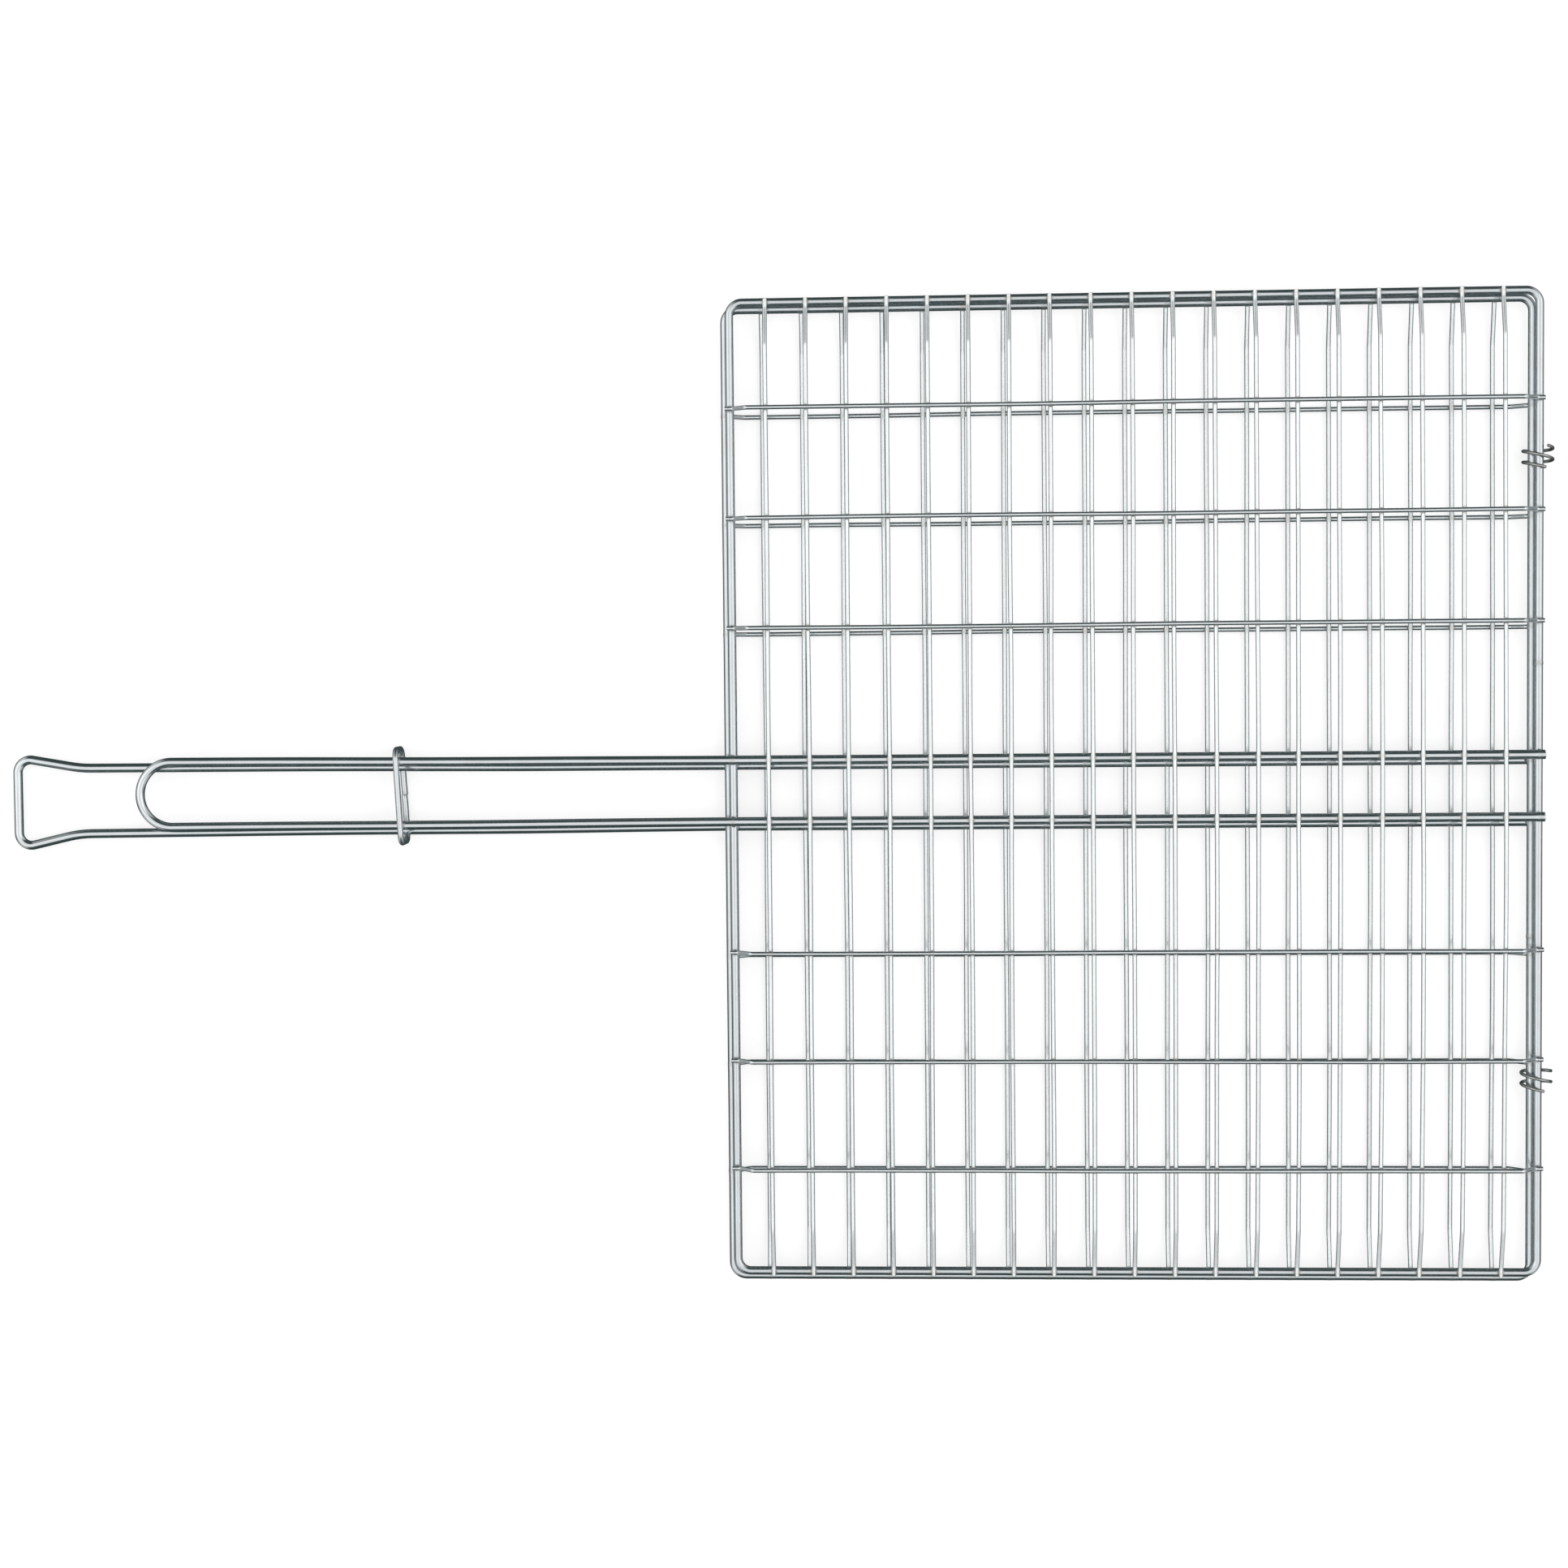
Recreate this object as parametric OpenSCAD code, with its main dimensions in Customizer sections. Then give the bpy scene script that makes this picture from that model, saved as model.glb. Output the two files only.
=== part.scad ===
// Hinged double grill basket, bent and spot-welded from steel wire.
// Two mirrored grids are linked at one end by two loose wire coils, and each
// grid carries one long wire handle. A closed oblong ring slides over both
// handles and locks the basket shut.
// Frame: origin at the centre of the lower grid on the plane it rests on,
// +X toward the hinge, -X toward the hand, +Z up. Millimetres.

/* [Grid frame] */
// Length of each grid along the handle, between frame wire centres
basket_length = 396; // [392:1:406]
// Width of each grid across the handle, between frame wire centres
basket_width = 483; // [420:1:600]
// Corner radius of the frame wire, on its centre line
corner_radius = 6.5; // [5:0.5:14]
// Diameter of the frame wire
frame_d = 4.2; // [3.6:0.1:4.6]
// Gap between the two frame wires when the basket is shut empty
frame_gap = 0.2; // [0.1:0.1:1]

/* [Grid wires] */
// Diameter of the thin cross and long wires
rod_d = 2.2; // [1.8:0.1:2.6]
// Number of cross wires on each grid
cross_count = 19; // [5:2:19]
// Spacing of the cross wires
cross_pitch = 20; // [16:0.5:20]
// Distance from the centre line to the first long wire on each side
long_first = 80.8; // [60:0.1:90]
// Spacing of the long wires on each side
long_pitch = 54.2; // [40:0.1:54.2]
// How deep two welded wires sink into each other
weld_sink = 0.2; // [0.1:0.05:0.3]

/* [Handles] */
// Diameter of the handle wire
handle_d = 4.6; // [4:0.1:5]
// Spacing of the two handle legs inside the grid
leg_pitch = 30.6; // [28:0.1:33]
// Spacing of the two legs at the hand end of the upper handle
leg_pitch_hand = 33; // [31:0.1:34]
// Reach of the upper handle beyond the frame, to the centre of its round end
upper_reach = 299; // [200:1:320]
// Reach of the lower handle beyond the frame, to the centre of its end bar
lower_reach = 363; // [350:1:400]
// Spacing of the legs where the end of the lower handle is widest
flare_pitch = 46.4; // [44:0.1:50]
// Length of the flared end of the lower handle
flare_length = 32; // [28:1:40]
// How far the handle legs run past the hinge-side frame wire
leg_overrun = 2.8; // [2.3:0.1:3]

/* [Lock ring] */
// Diameter of the ring wire
ring_d = 3; // [2.4:0.1:3.2]
// Length of the ring across the handles, over its outside
ring_length = 49.6; // [48:0.1:52]
// Height of the ring, inside
ring_opening = 18.6; // [18.3:0.1:21]
// Corner radius of the ring on its centre line
ring_corner = 5; // [4.5:0.1:5.2]
// Distance of the ring from the hand-side frame wire
ring_station = 165.2; // [30:0.1:260]
// Lean of the ring from upright
ring_lean = 2; // [0:0.5:3]
// Turn of the loose ring away from square to the handles
ring_turn = 3; // [0:0.5:3]

/* [Hinge coils] */
// Diameter of the coil wire
coil_d = 1.6; // [1.4:0.1:1.8]
// Mean radius of a coil
coil_radius = 7.1; // [7.1:0.1:7.4]
// Rise of a coil per turn
coil_pitch = 5.4; // [4.6:0.1:5.8]
// Place of the first coil along the hinge
coil_left_y = 163.7; // [150:0.1:170]
// Place of the second coil along the hinge
coil_right_y = -142.6; // [-170:0.1:-142.6]

/* [Play] */
// Shift of the shut upper grid toward the hinge, taken up by the loose coils
play_x = 2.5; // [0:0.1:3]
// Shift of the shut upper grid along the hinge
play_y = 3; // [0:0.1:3]

/* [Hidden] */
$fn = 32;

// Heights measured outward from the centre plane of a frame
leg_off = (frame_d + handle_d) / 2 - weld_sink;
cross_off = leg_off + (handle_d + rod_d) / 2 - weld_sink;
long_off = cross_off + rod_d - weld_sink;
end_off = (frame_d + rod_d) / 2 - weld_sink;

// Centre planes of the two frames; the lower grid rests on its long wires
lower_z = long_off + rod_d / 2;
upper_z = lower_z + frame_d + frame_gap;

// Half sizes of a frame, to the wire centre
frame_x = basket_length / 2;
frame_y = basket_width / 2;

// Long wires: number on each side of the centre line and on each grid
long_side = 3;
long_count = 2 * long_side;

// Names of the numbered wires
function two_digits(i) = i < 10 ? str("0", i) : str(i);
function cross_name(side, i) = str(side, "_cross_wire_", two_digits(i));
function long_name(side, i) = str(side, "_long_wire_", i);

NODES = concat(
    ["lower_frame", "upper_frame", "lower_handle", "upper_handle",
     "lock_ring", "hinge_coil_left", "hinge_coil_right"],
    [for (i = [1 : cross_count]) cross_name("lower", i)],
    [for (i = [1 : cross_count]) cross_name("upper", i)],
    [for (i = [1 : long_count]) long_name("lower", i)],
    [for (i = [1 : long_count]) long_name("upper", i)]);
node = "all";

// Place of a cross wire along X
function cross_x(i) = (i - (cross_count + 1) / 2) * cross_pitch;

// Place of a long wire along Y, counted from the +Y side
function long_y(i) =
    i <= long_side ? long_first + (long_side - i) * long_pitch
                   : -long_first - (i - long_side - 1) * long_pitch;

// ---- Bent wire ----

// How far a straight run reaches into a bend of an open wire,
// and how much the wire radius swells in that bend
bend_lap = 0.2;
bend_swell = 0.02;

// Direction of the line between two points, and the signed turn at a corner
function heading(start, end) = atan2(end[1] - start[1], end[0] - start[0]);
function wrap(angle) = angle > 180 ? angle - 360 : angle < -180 ? angle + 360 : angle;
function turn(before, corner, after) =
    wrap(heading(corner, after) - heading(before, corner));

// Distance from a corner to where its bend begins
function setback(before, corner, after, radius) =
    radius * abs(tan(turn(before, corner, after) / 2));

// Corners of a rectangle about the origin, from its half sizes
function rectangle(x, y) = [[-x, -y], [x, -y], [x, y], [-x, y]];

// One straight run of wire in the XY plane
module run(start, end, wire_d) {
    translate([start[0], start[1], 0])
        rotate([0, 90, heading(start, end)])
            cylinder(h = norm(end - start), d = wire_d);
}

// One bend, tangent to the runs on both sides of its corner
module bend(before, corner, after, radius, wire_d) {
    angle = turn(before, corner, after);
    entry = heading(before, corner);
    side = angle > 0 ? 1 : -1;
    start = corner - setback(before, corner, after, radius) * [cos(entry), sin(entry)];
    centre = start + side * radius * [-sin(entry), cos(entry)];
    translate([centre[0], centre[1], 0])
        rotate([0, 0, side > 0 ? entry - 90 : entry + 90 + angle])
            rotate_extrude(angle = abs(angle))
                translate([radius, 0]) circle(d = wire_d);
}

// A wire bent along an open path, with one bend radius for each point.
// The radii of the two end points are not used.
module open_wire(path, radii, wire_d) {
    last = len(path) - 1;
    function inset(i) = setback(path[i - 1], path[i], path[i + 1], radii[i]) - bend_lap;
    for (i = [0 : last - 1]) {
        angle = heading(path[i], path[i + 1]);
        along = [cos(angle), sin(angle)];
        start = i == 0 ? path[0] : path[i] + along * inset(i);
        end = i == last - 1 ? path[last] : path[i + 1] - along * inset(i + 1);
        run(start, end, wire_d);
    }
    for (i = [1 : last - 1])
        bend(path[i - 1], path[i], path[i + 1], radii[i], wire_d + 2 * bend_swell);
}

// A wire bent along a closed path, with the same radius at every corner
module closed_wire(path, radius, wire_d) {
    count = len(path);
    for (i = [0 : count - 1]) {
        before = path[(i + count - 1) % count];
        start = path[i];
        end = path[(i + 1) % count];
        after = path[(i + 2) % count];
        angle = heading(start, end);
        along = [cos(angle), sin(angle)];
        run(start + along * setback(before, start, end, radius),
            end - along * setback(start, end, after, radius), wire_d);
        bend(before, start, end, radius, wire_d);
    }
}

// ---- Frames and handles ----

leg_y = leg_pitch / 2;
leg_end_x = frame_x + leg_overrun;
leg_bend = 200; // radius where the legs begin to spread

round_y = leg_pitch_hand / 2;
round_bend = round_y - 0.15; // leaves a short straight between the two bends

neck_y = leg_pitch_hand / 2 + 0.2;
flare_y = flare_pitch / 2;
neck_bend = 60;
end_bar_bend = 6.5;

module grid_frame() {
    closed_wire(rectangle(frame_x, frame_y), corner_radius, frame_d);
}

// Upper handle: two legs that spread slightly and join in a round end
module round_handle() {
    tip = -frame_x - upper_reach;
    open_wire([[leg_end_x, -leg_y], [-frame_x, -leg_y], [tip, -round_y],
               [tip, round_y], [-frame_x, leg_y], [leg_end_x, leg_y]],
              [0, leg_bend, round_bend, round_bend, leg_bend, 0], handle_d);
}

// Lower handle: two legs, then a flared end closed by a straight bar
module flared_handle() {
    tip = -frame_x - lower_reach;
    neck = tip + flare_length;
    open_wire([[leg_end_x, -leg_y], [-frame_x, -leg_y], [neck, -neck_y],
               [tip, -flare_y], [tip, flare_y],
               [neck, neck_y], [-frame_x, leg_y], [leg_end_x, leg_y]],
              [0, leg_bend, neck_bend, end_bar_bend,
               end_bar_bend, neck_bend, leg_bend, 0], handle_d);
}

// ---- Grid wires ----

// Cross wire: ends flush with the outside of the frame; insets are from
// the frame wire centre to the foot and the top of each bent-down end
cross_end = frame_y + frame_d / 2;
cross_foot_inset = 2.5;
cross_top_inset = 22;
cross_bend = 12;

// Long wire: the same for its steeper ends
long_end = frame_x + 2.6;
long_foot_inset = 1.8;
long_top_inset = 8.5;
long_bend = 3;

// Profile of a wire with both ends bent down onto the frame.
// Local X runs along the wire, local Y points outward from the frame.
function rod_path(end, foot, top, height) =
    [[-end, end_off], [-foot, end_off], [-top, height],
     [top, height], [foot, end_off], [end, end_off]];
function rod_radii(radius) = [0, radius, radius, radius, radius, 0];

// Cross wire: runs over the handle legs
module cross_wire() {
    open_wire(rod_path(cross_end, frame_y - cross_foot_inset,
                       frame_y - cross_top_inset, cross_off),
              rod_radii(cross_bend), rod_d);
}

// Long wire: lies outermost
module long_wire() {
    open_wire(rod_path(long_end, frame_x - long_foot_inset,
                       frame_x - long_top_inset, long_off),
              rod_radii(long_bend), rod_d);
}

// ---- Lock ring ----

// Closed oblong ring, upright across the handles
module oblong_ring() {
    rotate([90, 0, 90])
        closed_wire(rectangle((ring_length - ring_d) / 2, (ring_opening + ring_d) / 2),
                    ring_corner, ring_d);
}

// ---- Hinge coils ----

// Loose coil of nearly two turns about +Y. Most of its rise is at the top,
// where it crosses over the upper frame wire.
coil_from = 60;     // start angle, from +X toward +Z
coil_sweep = 710;
coil_steps = 96;
coil_sides = 12;
coil_bias = 0.9;    // how strongly the rise gathers at the top
coil_clearance = 0.2;
coil_swing = 3;     // lean of the hanging coil toward the hinge side

// The coils hang from the hinge-side wire of the upper frame
coil_hang = coil_radius - coil_d / 2 - frame_d / 2 - coil_clearance;
coil_x = frame_x + play_x + coil_hang * sin(coil_swing);
coil_z = upper_z - coil_hang * cos(coil_swing);

degrees = 180 / PI; // degrees in a radian

function coil_angle(step) = coil_from - coil_sweep * step / coil_steps;
function coil_rise(angle) =
    coil_pitch / 360 * (angle - coil_bias * degrees * cos(angle));
coil_mid = (coil_rise(coil_from) + coil_rise(coil_from - coil_sweep)) / 2;

// Circle of points round the wire, square to its centre line
function coil_section(step) =
    let (angle = coil_angle(step),
         radial = [cos(angle), 0, sin(angle)],
         centre = [coil_radius * cos(angle), coil_rise(angle) - coil_mid,
                   coil_radius * sin(angle)],
         slope = coil_pitch / 360 * (1 + coil_bias * sin(angle)) * degrees,
         tangent = [-coil_radius * sin(angle), slope, coil_radius * cos(angle)],
         sideways = cross(radial, tangent / norm(tangent)))
    [for (j = [0 : coil_sides - 1])
        centre + coil_d / 2 * (cos(360 * j / coil_sides) * radial
                             + sin(360 * j / coil_sides) * sideways)];

module coil() {
    points = [for (k = [0 : coil_steps]) each coil_section(k)];
    quads = [for (k = [0 : coil_steps - 1], j = [0 : coil_sides - 1])
        let (here = k * coil_sides, there = here + coil_sides, next = (j + 1) % coil_sides)
        [here + j, here + next, there + next, there + j]];
    triangles = [for (q = quads) each [[q[0], q[1], q[2]], [q[0], q[2], q[3]]]];
    first_cap = [for (j = [coil_sides - 1 : -1 : 0]) j];
    last_cap = [for (j = [0 : coil_sides - 1]) coil_steps * coil_sides + j];
    polyhedron(points = points, faces = concat(triangles, [first_cap, last_cap]));
}

// ---- Placing ----

// Puts a flat wire shape onto a grid, at a height measured outward
module on_lower(height) { translate([0, 0, lower_z - height]) children(); }
module on_upper(height) { translate([play_x, play_y, upper_z + height]) children(); }

// Stands a wire profile across the grid or along it, outward side out
module across_lower(x) {
    translate([x, 0, lower_z]) mirror([0, 0, 1]) rotate([90, 0, 90]) children();
}
module across_upper(x) {
    translate([play_x + x, play_y, upper_z]) rotate([90, 0, 90]) children();
}
module along_lower(y) {
    translate([0, y, lower_z]) mirror([0, 0, 1]) rotate([90, 0, 0]) children();
}
module along_upper(y) {
    translate([play_x, play_y + y, upper_z]) rotate([90, 0, 0]) children();
}

// ---- Nodes ----

module lower_frame() { color("silver") on_lower(0) grid_frame(); }
module upper_frame() { color("silver") on_upper(0) grid_frame(); }
module lower_handle() { color("silver") on_lower(leg_off) flared_handle(); }
module upper_handle() { color("silver") on_upper(leg_off) round_handle(); }
module lower_cross_wire(i) { color("gainsboro") across_lower(cross_x(i)) cross_wire(); }
module upper_cross_wire(i) { color("gainsboro") across_upper(cross_x(i)) cross_wire(); }
module lower_long_wire(i) { color("lightgray") along_lower(long_y(i)) long_wire(); }
module upper_long_wire(i) { color("lightgray") along_upper(long_y(i)) long_wire(); }
module lock_ring() {
    color("whitesmoke")
        translate([-frame_x - ring_station, play_y / 2, ring_opening / 2 + ring_d])
            rotate([0, ring_lean, ring_turn]) oblong_ring();
}
module hinge_coil(y) { color("dimgray") translate([coil_x, y, coil_z]) coil(); }

function shown(name) = node == "all" || node == name;

if (shown("lower_frame")) lower_frame();
if (shown("upper_frame")) upper_frame();
if (shown("lower_handle")) lower_handle();
if (shown("upper_handle")) upper_handle();
if (shown("lock_ring")) lock_ring();
if (shown("hinge_coil_left")) hinge_coil(coil_left_y);
if (shown("hinge_coil_right")) hinge_coil(coil_right_y);
for (i = [1 : cross_count]) if (shown(cross_name("lower", i))) lower_cross_wire(i);
for (i = [1 : cross_count]) if (shown(cross_name("upper", i))) upper_cross_wire(i);
for (i = [1 : long_count]) if (shown(long_name("lower", i))) lower_long_wire(i);
for (i = [1 : long_count]) if (shown(long_name("upper", i))) upper_long_wire(i);
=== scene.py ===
"""Looks of a hinged wire grill basket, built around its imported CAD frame.

Two wire grids lie one over the other, parallel to XY, each with a handle reaching toward -X.
Cross wires run along Y, long wires along X. Lengths are in metres, +Z is up.
"""
import math
from collections import namedtuple

import bpy
import numpy as np
from mathutils import Matrix, Vector


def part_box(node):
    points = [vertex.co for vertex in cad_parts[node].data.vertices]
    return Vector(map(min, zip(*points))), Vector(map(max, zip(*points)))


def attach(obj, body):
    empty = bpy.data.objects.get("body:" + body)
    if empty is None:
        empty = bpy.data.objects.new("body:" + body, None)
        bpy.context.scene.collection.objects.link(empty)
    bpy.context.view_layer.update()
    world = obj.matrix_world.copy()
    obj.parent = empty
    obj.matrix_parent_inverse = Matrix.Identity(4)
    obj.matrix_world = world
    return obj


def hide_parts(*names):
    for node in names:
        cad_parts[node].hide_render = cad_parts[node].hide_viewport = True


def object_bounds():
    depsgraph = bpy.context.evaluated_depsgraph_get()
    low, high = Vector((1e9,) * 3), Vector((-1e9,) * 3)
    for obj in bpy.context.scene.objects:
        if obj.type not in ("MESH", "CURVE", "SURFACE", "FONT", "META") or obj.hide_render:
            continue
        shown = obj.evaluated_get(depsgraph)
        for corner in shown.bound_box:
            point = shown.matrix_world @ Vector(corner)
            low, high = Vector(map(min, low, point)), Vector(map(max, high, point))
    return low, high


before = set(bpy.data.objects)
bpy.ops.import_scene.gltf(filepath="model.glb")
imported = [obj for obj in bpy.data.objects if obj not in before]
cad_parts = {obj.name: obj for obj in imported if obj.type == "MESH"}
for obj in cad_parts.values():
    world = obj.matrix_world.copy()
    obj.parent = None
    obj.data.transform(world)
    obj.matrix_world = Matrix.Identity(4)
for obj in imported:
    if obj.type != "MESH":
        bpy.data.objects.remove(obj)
cad_lo, cad_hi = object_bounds()

TAU = 2 * math.pi

# Wire diameters
FRAME_D = 0.0042
HANDLE_D = 0.0046
ROD_D = 0.0022
RING_D = 0.0030
COIL_D = 0.0016

# Grids
CROSS_COUNT = 19
LONG_COUNT = 6
LEG_HALF = 0.0153        # half the spacing of the two handle legs
FRAME_CORNER = 0.0065    # bend radius of the frame's corners
BEAD_Y = {"lower": -0.072, "upper": 0.060}   # bead on the frame's +X side, from its middle
CONTACT_SHARE = 0.97     # welds lie at this share of the thicker wire's radius
ROD_TRIM = 0.0004        # cut off the thin wires' ends, to leave room for their domes
LEG_TRIM = 0.0005        # the same for the handle legs
ROD_WANDER = 0.00022     # sideways wander of the thin wires

# Marks at welds on a wire: a squeeze, weld discolouration, and painted contact shade facing the
# weld
SPOT_REACH = 0.006       # a weld marks only wire closer than this
REFINE_REACH = 0.0030    # extra rings are laid this far to either side of a weld
MIN_RING_GAP = 1.5e-4


def smooth(start, end, x):
    t = np.clip((np.asarray(x, float) - start) / (end - start), 0, 1)
    return t * t * (3 - 2 * t)


class Wobble:
    """Slow, repeatable wander of a drawn wire: a few sines with seeded phases."""

    def __init__(self, seed, size, waves=(0.45, 0.21, 0.11)):
        rng = np.random.default_rng(seed)
        self.parts = [
            (size * share * rng.uniform(0.6, 1.0), wave * rng.uniform(0.8, 1.25),
             rng.uniform(0, TAU))
            for share, wave in zip((1.0, 0.45, 0.2), waves)
        ]

    def __call__(self, run):
        return sum(size * np.sin(TAU * run / wave + phase) for size, wave, phase in self.parts)


def box(node):
    """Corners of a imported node's bounding box, as arrays."""
    lo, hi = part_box(node)
    return np.array(tuple(lo), float), np.array(tuple(hi), float)


# ---------------------------------------------------------------- centre lines
def corner_arc(before, corner, after, radius, arc):
    """Points of the arc that rounds one corner."""
    u = (corner - before) / np.linalg.norm(corner - before)
    v = (after - corner) / np.linalg.norm(after - corner)
    turn = math.acos(max(-1.0, min(1.0, float(u @ v))))
    if turn < 1e-6:
        return [corner]
    setback = radius * math.tan(turn / 2)
    side = v - u * float(u @ v)
    side /= np.linalg.norm(side)
    centre = corner - u * setback + side * radius
    count = max(3, int(math.ceil(turn / arc)))
    return [
        centre - side * radius * math.cos(turn * j / count)
        + u * radius * math.sin(turn * j / count)
        for j in range(count + 1)
    ]


def fillet(points, radii, closed=False, step=0.004, arc=math.radians(4)):
    """Centre line of a bent wire: straight runs joined by true arcs."""
    points = [np.array(point, float) for point in points]
    count = len(points)
    corners = []
    for i, point in enumerate(points):
        if not closed and i in (0, count - 1):
            corners.append([point])
        else:
            corners.append(
                corner_arc(points[i - 1], point, points[(i + 1) % count], radii[i], arc))
    out = []
    for i in range(count):
        out += corners[i]
        if i == count - 1 and not closed:
            break
        start, end = corners[i][-1], corners[(i + 1) % count][0]
        inner = int(math.floor(np.linalg.norm(end - start) / step))
        out += [start + (end - start) * j / (inner + 1) for j in range(1, inner + 1)]
    return np.array(out)


def refine(path, spots, fine=0.0006, closed=False):
    """Adds points close to the spots, so that marks there have enough mesh."""
    line = np.vstack([path, path[:1]]) if closed else path
    reach = int(REFINE_REACH / fine)
    out = [line[0]]
    for start, end in zip(line[:-1], line[1:]):
        span = end - start
        length = np.linalg.norm(span)
        if length < 1e-5:
            continue
        shares = {1.0}
        for spot in spots:
            along = float((spot - start) @ span) / length
            nearest = start + span / length * min(max(along, 0), length)
            if np.linalg.norm(nearest - spot) > SPOT_REACH:
                continue
            for k in range(-reach, reach + 1):
                share = (along + k * fine) / length
                if 0.0 < share < 1.0:
                    shares.add(round(share, 6))
        last = 0.0
        for share in sorted(shares):
            crowded = (share - last) * length < MIN_RING_GAP
            if share == 1.0 and crowded and last > 0.0:
                out.pop()
            if share == 1.0 or not crowded:
                out.append(start + span * share)
                last = share
    line = np.array(out)
    return line[:-1] if closed else line


def run_lengths(path):
    """Distance along the path to each of its points."""
    steps = np.linalg.norm(np.diff(path, axis=0), axis=1)
    return np.concatenate([[0], np.cumsum(steps)])


def nearest_index(path, place):
    return int(np.argmin(np.linalg.norm(path - place, axis=1)))


# ---------------------------------------------------------------- tube meshes
class Shell:
    """Mesh being collected, with the wire values of each vertex and its weld-and-shade value,
    which holds weld marks together with painted contact shade.
    """

    def __init__(self):
        self.points, self.faces, self.weld, self.wire = [], [], [], []

    def add(self, point, weld, wire):
        self.points.append(point)
        self.weld.append(weld)
        self.wire.append(wire)
        return len(self.points) - 1


def path_tangents(path, closed):
    if closed:
        tangent = np.roll(path, -1, 0) - np.roll(path, 1, 0)
    else:
        tangent = np.vstack([path[1:], path[-1:]]) - np.vstack([path[:1], path[:-1]])
    return tangent / np.linalg.norm(tangent, axis=1)[:, None]


def carried_frames(tangent, up, closed):
    """Frames carried along the wire without twist, and the twist that closes a loop."""
    def carry(normal, onto):
        flat = normal - onto * float(normal @ onto)
        return flat / np.linalg.norm(flat)

    count = len(tangent)
    first = np.cross(np.array(up, float), tangent[0])
    normals = [first / np.linalg.norm(first)]
    for i in range(1, count):
        normals.append(carry(normals[-1], tangent[i]))
    normals = np.array(normals)
    twist = np.zeros(count)
    if closed:
        back = carry(normals[-1], tangent[0])
        gap = math.atan2(float(np.cross(back, normals[0]) @ tangent[0]),
                         float(back @ normals[0]))
        twist = gap * np.arange(count) / count
    return normals, np.cross(tangent, normals), twist


def weld_influence(path, tangent, spots):
    """How strongly a weld marks each ring, and which way the weld lies from it."""
    spots = np.array(spots, float).reshape(-1, 3)
    near = np.zeros(len(path))
    toward = np.zeros((len(path), 3))
    if not len(spots):
        return near, toward
    for i in range(len(path)):
        offset = spots - path[i]
        along = offset @ tangent[i]
        too_far = np.linalg.norm(offset, axis=1) > SPOT_REACH
        k = int(np.argmin(np.abs(along) + 1e3 * too_far))
        if np.linalg.norm(offset[k]) < SPOT_REACH:
            near[i] = math.exp(-(along[k] / 0.0016) ** 2)
            side = offset[k] - tangent[i] * along[k]
            distance = np.linalg.norm(side)
            toward[i] = side / distance if distance > 1e-9 else 0
    return near, toward


# Sheared wire end, as shares of the wire's radius: ring radius, distance beyond the wire's end
END_RINGS = ((0.985, 0.03), (0.93, 0.075), (0.80, 0.11), (0.45, 0.125))
END_TIP = 0.13
END_WELD = 0.35          # weld value of the whole end face


def close_end(shell, last, sign, centre, outward, normal, binormal, radius, run, tilt):
    """Closes one wire end: a rounded lip, then a slightly domed, tilted face."""
    sides = len(last)

    def add_face(*corners):
        shell.faces.append(corners if sign > 0 else corners[::-1])

    for share, out in END_RINGS:
        ring = []
        for k in range(sides):
            c, s = math.cos(TAU * k / sides), math.sin(TAU * k / sides)
            slant = share * radius * (tilt[0] * c + tilt[1] * s) * min(1.0, out * 9)
            point = (centre + (normal * c + binormal * s) * radius * share
                     + outward * (out * radius + slant))
            wire = [run, c * radius * share, s * radius * share]
            ring.append(shell.add(point.tolist(), END_WELD, wire))
        for k in range(sides):
            m = (k + 1) % sides
            add_face(last[k], last[m], ring[m], ring[k])
        last = ring
    tip = shell.add((centre + outward * radius * END_TIP).tolist(), END_WELD, [run, 0, 0])
    for k in range(sides):
        add_face(last[k], last[(k + 1) % sides], tip)


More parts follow.
